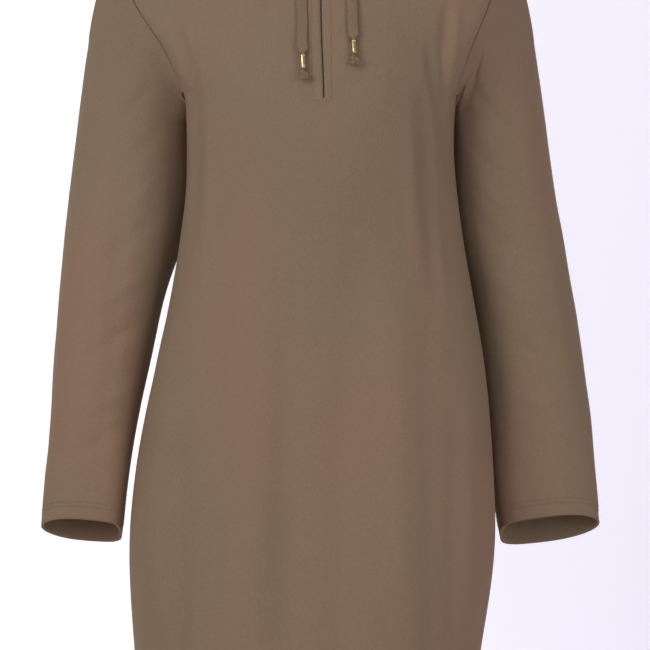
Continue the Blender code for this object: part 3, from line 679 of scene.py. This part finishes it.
def stitch_run(bm, line, length=STITCH_LENGTH, closed=False):
    """Lockstitches along a line on the cloth: each thread dips in, rises and dips again."""
    if closed:
        line = line + line[:1]
    along = [0.0]
    for (a, _), (b, _) in zip(line, line[1:]):
        along.append(along[-1] + (b - a).length)
    places = np.array([tuple(p) for p, _ in line])
    facings = np.array([tuple(n) for _, n in line])

    def at(distance):
        place = Vector([np.interp(distance, along, places[:, k]) for k in range(3)])
        facing = Vector([np.interp(distance, along, facings[:, k]) for k in range(3)])
        return place, facing.normalized()

    count = int(along[-1] // (length + STITCH_GAP))
    pitch = along[-1] / max(count, 1)
    for k in range(count):
        begin = k * pitch
        ring_places = []
        for share, swell, sink in STITCH_RINGS:
            place, facing = at(begin + share * (pitch - STITCH_GAP))
            ring_places.append((place + facing * sink * THREAD_THICK, facing, swell))
        ahead = (ring_places[-1][0] - ring_places[0][0]).normalized()
        rings = []
        for place, facing, swell in ring_places:
            side_way = ahead.cross(facing).normalized()
            rings.append(
                [
                    place
                    + side_way * (math.cos(turn) * THREAD_THICK / 2 * swell)
                    + facing * (math.sin(turn) * THREAD_THICK / 2 * swell)
                    for turn in THREAD_TURNS
                ]
            )
        skin_rings(bm, rings)


# Heights of the twin stitch lines above their edges, and how far out the rays to the cloth start
HEM_LINES = (16.0, 20.5)
CUFF_LINES = (13.0, 17.5)
FACE_LINES = (18.0, 22.5)
RAYS_FROM = 400
HEM_MIDDLE = (-12, -1)


def make_hem_stitches():
    """Twin-needle stitching round the hem."""
    tree = cloth_tree(("front", "back"))
    bm = bmesh.new()
    x, y = HEM_MIDDLE
    for height in HEM_LINES:
        turns = np.linspace(0, 2 * math.pi, 361)[:-1]
        z = HEM_Z + height
        starts = [(x + RAYS_FROM * math.cos(t), y + RAYS_FROM * math.sin(t), z) for t in turns]
        ways = [(-math.cos(t), -math.sin(t), 0) for t in turns]
        stitch_run(bm, lay_line(tree, starts, ways), closed=True)
    return finish("stitches_hem", bm)


# The cuffs' rings, as their solids have them: middle, half across, half deep, and the way up
CUFFS = {
    "left": ((-248.5, -15.0, -676.5), (-43.5, 0.0, 3.5), (0.0, -26.0, 13.0), (0.08, 0.07, 0.99)),
    "right": ((246.0, 16.0, -677.5), (54.0, 0.0, 6.5), (0.0, -24.0, 15.0), (-0.12, 0.05, 0.99)),
}


def make_cuff_stitches(side):
    """Twin-needle stitching round a cuff."""
    middle, across, deep, up = (Vector(v) for v in CUFFS[side])
    tree = cloth_tree((f"sleeve_{side}",))
    bm = bmesh.new()
    for height in CUFF_LINES:
        starts = []
        ways = []
        for turn in np.linspace(0, 2 * math.pi, 181)[:-1]:
            out = across * math.cos(turn) + deep * math.sin(turn)
            starts.append(middle + up * height + out * 1.6)
            ways.append(-out)
        stitch_run(bm, lay_line(tree, starts, ways), closed=True)
    return finish(f"stitches_cuff_{side}", bm)


ZIP_X = 3.2
ZIP_TOP_Z = -84.0
ZIP_FOOT_Z = -233.0
ZIP_BOX_HALF = 9.8
# The zip leans this far to one side in this much of its height
ZIP_LEAN = 0.9
ZIP_LEAN_HEIGHT = 140
BACKWARD = (0, 1, 0)


def zip_middle(z):
    """How far to the side the zip's middle is at a height."""
    return ZIP_X + ZIP_LEAN * ((ZIP_TOP_Z - z) / ZIP_LEAN_HEIGHT)


def make_zip_stitches():
    """The topstitched box that holds the zip's tape behind the slit."""
    tree = cloth_tree(("front",))
    bm = bmesh.new()
    for side in (-1, 1):
        heights = np.linspace(ZIP_TOP_Z, ZIP_FOOT_Z, 60)
        starts = [(zip_middle(z) + side * ZIP_BOX_HALF, -RAYS_FROM, z) for z in heights]
        stitch_run(bm, lay_line(tree, starts, [BACKWARD] * len(starts)), length=ZIP_STITCH_LENGTH)
    foot = np.linspace(-ZIP_BOX_HALF, ZIP_BOX_HALF, 12)
    starts = [(ZIP_X + ZIP_LEAN + x, -RAYS_FROM, ZIP_FOOT_Z) for x in foot]
    stitch_run(bm, lay_line(tree, starts, [BACKWARD] * len(starts)), length=ZIP_STITCH_LENGTH)
    return finish("stitches_zip", bm)


# The face edge's stitched heights, and how near a point of the hood counts as at a height
FACE_HEIGHTS = np.linspace(-40, 292, 70)
FACE_NEAR = 7
FACE_RAYS_FROM = 260


def make_face_stitches():
    """Twin stitching round the hood's face opening, where its hem makes the drawcord's tunnel."""
    bm = bmesh.new()
    for side, sign in (("left", -1), ("right", 1)):
        tree = cloth_tree((f"hood_{side}",))
        points = points_in_mm(cloth[f"hood_{side}"])
        for inset in FACE_LINES:
            line = []
            for z in FACE_HEIGHTS:
                near = points[np.abs(points[:, 2] - z) < FACE_NEAR]
                if len(near) == 0:
                    continue
                edge = near[np.argmin(near[:, 1])]
                start = (sign * FACE_RAYS_FROM, edge[1] + inset, z)
                line += lay_line(tree, [start], [(-sign, 0, 0)])
            stitch_run(bm, line)
    return finish("stitches_hood", bm)


def cloth_front(tree, x, z):
    """How far forward the cloth's face is at x and z, tried a hair aside where a ray slips through."""
    for nudge in (0.0, 0.11, -0.13, 0.4):
        place = tree.ray_cast(Vector((x + nudge, -RAYS_FROM, z + nudge)), Vector(BACKWARD))[0]
        if place is not None and place.y < 0:
            return place.y
    return tree.find_nearest(Vector((x, -120, z)))[0].y


COIL_LOOPS = 120
COIL_PITCH = 1.2
COIL_BEHIND_CLOTH = 1.15
COIL_LEAN = 0.3
SLIT_LIP = 2.6
# A loop's rings: how far to the side, and its half thickness there
COIL_RINGS = ((-1.3, 0.2), (-0.9, 0.42), (0.9, 0.42), (1.3, 0.2))


def make_zip_coil():
    """The closed nylon coil seen in the slit: fine loops from both tapes, turn about."""
    tree = cloth_tree(("front",))
    bm = bmesh.new()
    turns = np.linspace(0, 2 * math.pi, 9)[:-1]
    for k in range(COIL_LOOPS):
        z = ZIP_TOP_Z - 2 - k * COIL_PITCH
        middle = zip_middle(z)
        lips = cloth_front(tree, middle - SLIT_LIP, z) + cloth_front(tree, middle + SLIT_LIP, z)
        depth = lips / 2 + COIL_BEHIND_CLOTH
        lean = COIL_LEAN if k % 2 else -COIL_LEAN
        rings = []
        for x, half in COIL_RINGS:
            side_way = middle + x + lean
            rings.append(
                [Vector((side_way, depth + math.sin(t) * half, z + math.cos(t) * half)) for t in turns]
            )
        skin_rings(bm, rings)
    return finish("zip_coil", bm)


EYELET_RADIUS = 3.9
EYELET_ROLL = 1.08
# How far the rolled ring stands proud of the cloth, in front and behind
EYELET_PROUD = (0.82, 0.78)
EYELET_POINTS = 56
EYELET_RING_POINTS = 16


def make_eyelet(side):
    """A pressed eyelet: a rolled ring whose place and facing come from its solid."""
    points = points_in_mm(nodes[f"eyelet_{side}"])
    middle = (points.min(axis=0) + points.max(axis=0)) / 2
    spread = points - points.mean(axis=0)
    _, _, axes = np.linalg.svd(spread, full_matrices=False)
    facing = Vector(axes[2])
    if facing.y > 0:
        facing = -facing
    first, second = Vector(axes[0]), Vector(axes[1])
    bm = bmesh.new()
    rings = []
    in_front, behind = EYELET_PROUD
    for k in range(EYELET_POINTS):
        turn = 2 * math.pi * k / EYELET_POINTS
        out = first * math.cos(turn) + second * math.sin(turn)
        ring = []
        for j in range(EYELET_RING_POINTS):
            roll = 2 * math.pi * j / EYELET_RING_POINTS
            proud = behind if math.sin(roll) < 0 else in_front
            reach = EYELET_RADIUS + EYELET_ROLL * math.cos(roll)
            away = out * reach + facing * (proud * math.sin(roll))
            ring.append(Vector(middle) + away)
        rings.append(ring)
    skin_rings(bm, rings, closed=True)
    piece = finish(f"eyelet_ring_{side}", bm)
    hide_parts(f"eyelet_{side}")
    return piece


def eased_copy(node, name, width, rides):
    """A hard part's own shape with its edges rounded by tumbling."""
    bm = bmesh.new()
    bm.from_mesh(nodes[node].data)
    bmesh.ops.scale(bm, vec=(MM_IN_METRE, MM_IN_METRE, MM_IN_METRE), verts=bm.verts)
    bmesh.ops.remove_doubles(bm, verts=bm.verts, dist=0.002)
    bmesh.ops.dissolve_limit(bm, angle_limit=math.radians(2), verts=bm.verts, edges=bm.edges)
    sharp = math.radians(30)
    edges = [e for e in bm.edges if len(e.link_faces) == 2 and e.calc_face_angle() > sharp]
    bmesh.ops.bevel(
        bm, geom=edges, offset=width, segments=3, profile=0.5, affect="EDGES", clamp_overlap=True
    )
    piece = finish(name, bm, rides)
    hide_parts(node)
    return piece


# The tape's thicker woven edge: how far from the zip's middle, its half width and its height
TAPE_RIB = (9.5, 0.9, 0.12)


def make_tape():
    """The zip's woven tape: its solid's wall made finer, thickened at its woven edges."""
    bm, _ = cell_mesh("zip_tape", False)
    piece = finer("zip_tape_woven", bm, 3)
    mesh = piece.data
    points = points_of(mesh)
    lay_out(mesh, points, body_line)
    rib_place, rib_half, rib_height = TAPE_RIB
    rib = rib_height * np.exp(-(((np.abs(points[:, 0] - ZIP_X) - rib_place) / rib_half) ** 2))
    points[:, 1] -= rib
    mesh.vertices.foreach_set("co", (points * MM).ravel())
    mesh.shade_smooth()
    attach(piece, "root")
    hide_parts("zip_tape")
    return piece


stitches = {
    "hem": make_hem_stitches(),
    "cuff_left": make_cuff_stitches("left"),
    "cuff_right": make_cuff_stitches("right"),
    "zip": make_zip_stitches(),
    "hood": make_face_stitches(),
}
zip_coil = make_zip_coil()
zip_tape = make_tape()
eyelets = [make_eyelet("left"), make_eyelet("right")]
SLIDER_EASED = 0.28
PULL_EASED = 0.3
slider = eased_copy("zip_slider", "slider_body", SLIDER_EASED, "root")
pull_tab = eased_copy("zip_pull", "slider_pull", PULL_EASED, "pull")


# Materials: each is named for what it is and how its surface was made

def linear(hex_colour):
    """An sRGB hex colour as the linear colour that a shader takes."""
    channels = [int(hex_colour[k : k + 2], 16) / 255 for k in (1, 3, 5)]
    return (*[c / 12.92 if c <= 0.04045 else ((c + 0.055) / 1.055) ** 2.4 for c in channels], 1.0)


def blank(name):
    """A named material with only its output and a Principled shader."""
    made = bpy.data.materials.new(name)
    made.use_nodes = True
    tree = made.node_tree
    tree.nodes.clear()
    out = tree.nodes.new("ShaderNodeOutputMaterial")
    shader = tree.nodes.new("ShaderNodeBsdfPrincipled")
    tree.links.new(shader.outputs["BSDF"], out.inputs["Surface"])
    return made, tree, shader


def add(tree, kind, settings=None, **links):
    """Adds a node with its settings and plain values, and links given as socket=other socket."""
    node = tree.nodes.new(kind)
    for key, value in (settings or {}).items():
        if isinstance(key, int) or key in node.inputs:
            node.inputs[key].default_value = value
        else:
            setattr(node, key, value)
    for key, source in links.items():
        target = node.inputs[int(key[1:])] if key[0] == "_" else node.inputs[key]
        tree.links.new(source, target)
    return node


def ramp(tree, source, stops):
    """A colour ramp over a pattern, from (place, sRGB hex) stops."""
    node = add(tree, "ShaderNodeValToRGB", Fac=source)
    elements = node.color_ramp.elements
    while len(elements) < len(stops):
        elements.new(0.5)
    for element, (place, colour) in zip(elements, stops):
        element.position = place
        element.color = linear(colour)
    return node.outputs["Color"]


# Patterns by how many of their grains a metre holds. Real dye specks, fuzz and twist are finer
# than a millimetre, and these are drawn at 1 to 1.6 mm so that they show
FUZZ = 900.0
HEATHER = 620.0
DYE_DRIFT = 8.0
THREAD_TWIST = 700.0
TAPE_TWILL = 320.0
TAPE_GRAIN = 700.0
COIL_GRAIN = 400.0
PLATE_HAZE = 240.0
PLATE_MARKS = 1600.0
# How far a loop's two legs slant, in radians of a course, and their height beside a column's
LEG_SLANT = 1.6
LEG_HEIGHT = 0.55


def knitted_jersey(name, dark, mid, light, cool, warm, wale_mm, course_mm, relief, sheen):
    """Cotton and elastane single jersey, weft knitted and singed smooth: columns of fine V loops
    up the garment, a matt face with a slight bloom at grazing angles and a faintly heathered dye."""
    made, tree, shader = blank(name)
    lay = add(tree, "ShaderNodeUVMap", {"uv_map": "knit_lay"}).outputs["UV"]
    split = add(tree, "ShaderNodeSeparateXYZ", Vector=lay)
    per_wale = 100 / wale_mm * 2 * math.pi
    per_course = 100 / course_mm * 2 * math.pi
    math_node = "ShaderNodeMath"
    wales = add(tree, math_node, {"operation": "MULTIPLY", 1: per_wale}, _0=split.outputs["X"])
    ridge = add(tree, math_node, {"operation": "COSINE"}, _0=wales.outputs[0])
    lean = add(tree, math_node, {"operation": "MULTIPLY", 1: per_wale / 2}, _0=split.outputs["X"])
    lean = add(tree, math_node, {"operation": "SINE"}, _0=lean.outputs[0])
    lean = add(tree, math_node, {"operation": "ABSOLUTE"}, _0=lean.outputs[0])
    courses = add(tree, math_node, {"operation": "MULTIPLY", 1: per_course}, _0=split.outputs["Y"])
    courses = add(
        tree, math_node, {"operation": "MULTIPLY_ADD", 1: LEG_SLANT},
        _0=lean.outputs[0], _2=courses.outputs[0],
    )
    legs = add(tree, math_node, {"operation": "SINE"}, _0=courses.outputs[0])
    loops = add(
        tree, math_node, {"operation": "MULTIPLY_ADD", 1: LEG_HEIGHT},
        _0=legs.outputs[0], _2=ridge.outputs[0],
    )
    place = add(tree, "ShaderNodeTexCoord").outputs["Object"]
    noise_node = "ShaderNodeTexNoise"
    fuzz = add(tree, noise_node, {"Scale": FUZZ, "Detail": 2.0, "Roughness": 0.6}, Vector=place)
    heather = add(tree, noise_node, {"Scale": HEATHER, "Detail": 2.0, "Roughness": 0.5}, Vector=place)
    stretch = add(tree, "ShaderNodeMapping", {"Scale": (1.0, 1.0, 0.35)}, Vector=place)
    soft_wear = add(
        tree, noise_node, {"Scale": DYE_DRIFT, "Detail": 1.0, "Roughness": 0.4}, Vector=stretch.outputs[0]
    )
    cast = ramp(tree, soft_wear.outputs["Fac"], [(0.4, cool), (0.6, warm)])
    tone = add(
        tree, math_node, {"operation": "MULTIPLY_ADD", 1: 0.35},
        _0=soft_wear.outputs["Fac"], _2=heather.outputs["Fac"],
    )
    yarn = ramp(tree, tone.outputs[0], [(0.42, dark), (0.68, mid), (0.95, light)])
    dyed = add(
        tree, "ShaderNodeMix", {"data_type": "RGBA", "blend_type": "MULTIPLY", 0: 1.0}, _6=yarn, _7=cast
    )
    tree.links.new(dyed.outputs[2], shader.inputs["Base Color"])
    knit_bump = add(
        tree, "ShaderNodeBump", {"Strength": relief, "Distance": 0.0002}, Height=loops.outputs[0]
    )
    fuzz_bump = add(
        tree, "ShaderNodeBump", {"Strength": 0.12, "Distance": 0.00015},
        Height=fuzz.outputs["Fac"], Normal=knit_bump.outputs["Normal"],
    )
    tree.links.new(fuzz_bump.outputs["Normal"], shader.inputs["Normal"])
    rough = add(tree, "ShaderNodeMapRange", {"To Min": 0.78, "To Max": 0.9}, Value=heather.outputs["Fac"])
    tree.links.new(rough.outputs["Result"], shader.inputs["Roughness"])
    shader.inputs["IOR"].default_value = 1.46
    shader.inputs["Specular IOR Level"].default_value = 0.3
    shader.inputs["Sheen Weight"].default_value = sheen
    shader.inputs["Sheen Roughness"].default_value = 0.45
    shader.inputs["Sheen Tint"].default_value = linear("#d8c4b0")
    return made


def spun_thread(name, dark, light):
    """Polyester sewing thread, two plies twisted: a fine slanting twist and a soft lustre."""
    made, tree, shader = blank(name)
    place = add(tree, "ShaderNodeTexCoord").outputs["Object"]
    twist = add(
        tree, "ShaderNodeTexWave",
        {"bands_direction": "DIAGONAL", "Scale": THREAD_TWIST, "Distortion": 1.5, "Detail": 1.0},
        Vector=place,
    )
    colour = ramp(tree, twist.outputs["Fac"], [(0.1, dark), (0.9, light)])
    tree.links.new(colour, shader.inputs["Base Color"])
    bump = add(tree, "ShaderNodeBump", {"Strength": 0.4, "Distance": 0.0001}, Height=twist.outputs["Fac"])
    tree.links.new(bump.outputs["Normal"], shader.inputs["Normal"])
    shader.inputs["Roughness"].default_value = 0.6
    shader.inputs["Sheen Weight"].default_value = 0.2
    return made


def woven_tape(name, dark, light):
    """Polyester zip tape, narrow woven: a fine twill, matt and dense. Its threads are about
    0.5 mm wide, drawn here at 1.4 mm so that they show."""
    made, tree, shader = blank(name)
    place = add(tree, "ShaderNodeTexCoord").outputs["Object"]
    twill = add(
        tree, "ShaderNodeTexWave", {"bands_direction": "DIAGONAL", "Scale": TAPE_TWILL}, Vector=place
    )
    grain = add(tree, "ShaderNodeTexNoise", {"Scale": TAPE_GRAIN, "Detail": 2.0}, Vector=place)
    mixed = add(
        tree, "ShaderNodeMath", {"operation": "MULTIPLY"},
        _0=twill.outputs["Fac"], _1=grain.outputs["Fac"],
    )
    colour = ramp(tree, mixed.outputs[0], [(0.1, dark), (0.6, light)])
    tree.links.new(colour, shader.inputs["Base Color"])
    bump = add(tree, "ShaderNodeBump", {"Strength": 0.5, "Distance": 0.0002}, Height=twill.outputs["Fac"])
    tree.links.new(bump.outputs["Normal"], shader.inputs["Normal"])
    shader.inputs["Roughness"].default_value = 0.8
    return made


def moulded_coil(name, dark, light):
    """Nylon zip coil, drawn monofilament heat set into loops: dyed through, with a dull gloss."""
    made, tree, shader = blank(name)
    place = add(tree, "ShaderNodeTexCoord").outputs["Object"]
    grain = add(tree, "ShaderNodeTexNoise", {"Scale": COIL_GRAIN, "Detail": 1.0}, Vector=place)
    colour = ramp(tree, grain.outputs["Fac"], [(0.3, dark), (0.7, light)])
    tree.links.new(colour, shader.inputs["Base Color"])
    shader.inputs["Roughness"].default_value = 0.42
    shader.inputs["IOR"].default_value = 1.53
    return made


def plated_gold(name, base, worn, rough):
    """Zinc alloy, tumbled and flash plated in light gold: bright, with hairline handling marks."""
    made, tree, shader = blank(name)
    place = add(tree, "ShaderNodeTexCoord").outputs["Object"]
    haze = add(
        tree, "ShaderNodeTexNoise", {"Scale": PLATE_HAZE, "Detail": 3.0, "Roughness": 0.6}, Vector=place
    )
    marks = add(
        tree, "ShaderNodeTexNoise", {"Scale": PLATE_MARKS, "Detail": 2.0, "Distortion": 1.2}, Vector=place
    )
    colour = ramp(tree, haze.outputs["Fac"], [(0.3, worn), (0.65, base)])
    tree.links.new(colour, shader.inputs["Base Color"])
    spread = add(
        tree, "ShaderNodeMapRange", {"To Min": rough - 0.06, "To Max": rough + 0.1},
        Value=haze.outputs["Fac"],
    )
    tree.links.new(spread.outputs["Result"], shader.inputs["Roughness"])
    bump = add(tree, "ShaderNodeBump", {"Strength": 0.05, "Distance": 0.00003}, Height=marks.outputs["Fac"])
    tree.links.new(bump.outputs["Normal"], shader.inputs["Normal"])
    shader.inputs["Metallic"].default_value = 1.0
    return made


def wear(piece, made):
    """Gives a piece its one material."""
    piece.data.materials.clear()
    piece.data.materials.append(made)


# Real jersey has about 1 mm between its columns of loops, drawn here at 1.5 mm so that it shows
JERSEY = knitted_jersey(
    "knitted_jersey", "#836f5e", "#8a7360", "#8f7965", "#f7faf2", "#fff5f2", 1.5, 1.9, 0.3, 0.1
)
CORD_JERSEY = knitted_jersey(
    "knitted_jersey_cord", "#79654f", "#836b58", "#8e7762", "#f8fbf4", "#fff7f4", 1.2, 1.5, 0.4, 0.1
)
THREAD = spun_thread("spun_polyester_thread", "#5f4d40", "#7d6858")
TAPE = woven_tape("woven_polyester_tape", "#5a493d", "#75614f")
COIL = moulded_coil("nylon_zip_coil", "#4c3f36", "#665447")
GOLD = plated_gold("gold_plated_zinc", "#efd4a4", "#dfc294", 0.27)

for piece in cloth.values():
    wear(piece, JERSEY)
for piece in stitches.values():
    wear(piece, THREAD)
for piece, barrel, knot in cords.values():
    wear(piece, CORD_JERSEY)
    wear(knot, CORD_JERSEY)
    wear(barrel, GOLD)
wear(zip_tape, TAPE)
wear(zip_coil, COIL)
for piece in (*eyelets, slider, pull_tab):
    wear(piece, GOLD)


# Studio: white paper behind, pale floor, a large soft light on the viewer's left and a weak fill

def paper(name, corners, left_painted_shade_hex, right_painted_shade_hex, glow):
    """Studio paper with painted shade, a little darker from the viewer's left to the right, and a painted
    glow from its own emission; clear from behind.
    """
    bm = bmesh.new()
    bm.faces.new([bm.verts.new(c) for c in corners])
    mesh = bpy.data.meshes.new(name)
    bm.to_mesh(mesh)
    bm.free()
    sheet_of_paper = bpy.data.objects.new(name, mesh)
    scene.collection.objects.link(sheet_of_paper)
    made, tree, shader = blank(name)
    place = add(tree, "ShaderNodeTexCoord").outputs["Object"]
    split = add(tree, "ShaderNodeSeparateXYZ", Vector=place)
    across = add(
        tree, "ShaderNodeMapRange", {"From Min": -0.45, "From Max": 0.45}, Value=split.outputs["X"]
    )
    # Painted shade: the paper's colour darkens from the viewer's left to the right
    colour = ramp(tree, across.outputs["Result"], [(0.1, left_painted_shade_hex), (0.9, right_painted_shade_hex)])
    tree.links.new(colour, shader.inputs["Base Color"])
    # Painted glow: the paper gives off light in its own colour, though it is no lamp
    tree.links.new(colour, shader.inputs["Emission Color"])
    shader.inputs["Roughness"].default_value = 0.9
    shader.inputs["Emission Strength"].default_value = glow
    clear = add(tree, "ShaderNodeBsdfTransparent").outputs[0]
    behind = add(tree, "ShaderNodeNewGeometry").outputs["Backfacing"]
    seen = add(tree, "ShaderNodeMixShader", _0=behind, _1=shader.outputs["BSDF"], _2=clear)
    tree.links.new(seen.outputs[0], tree.nodes["Material Output"].inputs["Surface"])
    mesh.materials.append(made)


# The floor's height and half side, and the backdrop's place, half width and top, in metres
FLOOR_Z = -0.99
FLOOR_HALF = 5
BACK_Y = 1.3
BACK_HALF = 2.5
BACK_TOP_Z = 2.4
FLOOR = [
    (-FLOOR_HALF, -FLOOR_HALF, FLOOR_Z),
    (FLOOR_HALF, -FLOOR_HALF, FLOOR_Z),
    (FLOOR_HALF, FLOOR_HALF, FLOOR_Z),
    (-FLOOR_HALF, FLOOR_HALF, FLOOR_Z),
]
BACKDROP = [
    (-BACK_HALF, BACK_Y, FLOOR_Z),
    (BACK_HALF, BACK_Y, FLOOR_Z),
    (BACK_HALF, BACK_Y, BACK_TOP_Z),
    (-BACK_HALF, BACK_Y, BACK_TOP_Z),
]
# How strongly the backdrop gives off its painted glow
BACK_GLOW = 0.30
paper("paper_floor", FLOOR, "#f4f2f0", "#f0eef0", 0.0)
paper("paper_back", BACKDROP, "#fcfbfe", "#f1eefa", BACK_GLOW)


def soft_light(name, place, target, size, power):
    """A large plain white lamp that faces its target, sized in metres and powered in watts."""
    lamp = bpy.data.lights.new(name, "AREA")
    lamp.shape = "RECTANGLE"
    lamp.size, lamp.size_y = size
    lamp.energy = power
    holder = bpy.data.objects.new(name, lamp)
    holder.location = place
    holder.rotation_euler = (Vector(target) - Vector(place)).to_track_quat("-Z", "Y").to_euler()
    scene.collection.objects.link(holder)


GARMENT_MIDDLE = (0, 0, -0.45)
CHEST = (0, 0, -0.3)
soft_light("key", (-2.3, -2.4, 0.9), GARMENT_MIDDLE, (1.6, 2.0), 54)
soft_light("fill", (2.4, -2.6, 0.2), GARMENT_MIDDLE, (1.6, 2.0), 31)
soft_light("overhead", (0.0, -0.6, 2.2), CHEST, (2.0, 1.6), 14)

# The room's light on the garment, and how pale it looks past the paper
ROOM_LIGHT = 0.2
ROOM_SEEN = 0.92

world = bpy.data.worlds.new("pale_room")
scene.world = world
world.use_nodes = True
sky = world.node_tree.nodes["Background"]
sky.inputs["Color"].default_value = linear("#fbfaff")
looked_at = add(world.node_tree, "ShaderNodeLightPath").outputs["Is Camera Ray"]
room = add(
    world.node_tree, "ShaderNodeMapRange", {"To Min": ROOM_LIGHT, "To Max": ROOM_SEEN}, Value=looked_at
)
world.node_tree.links.new(room.outputs["Result"], sky.inputs["Strength"])
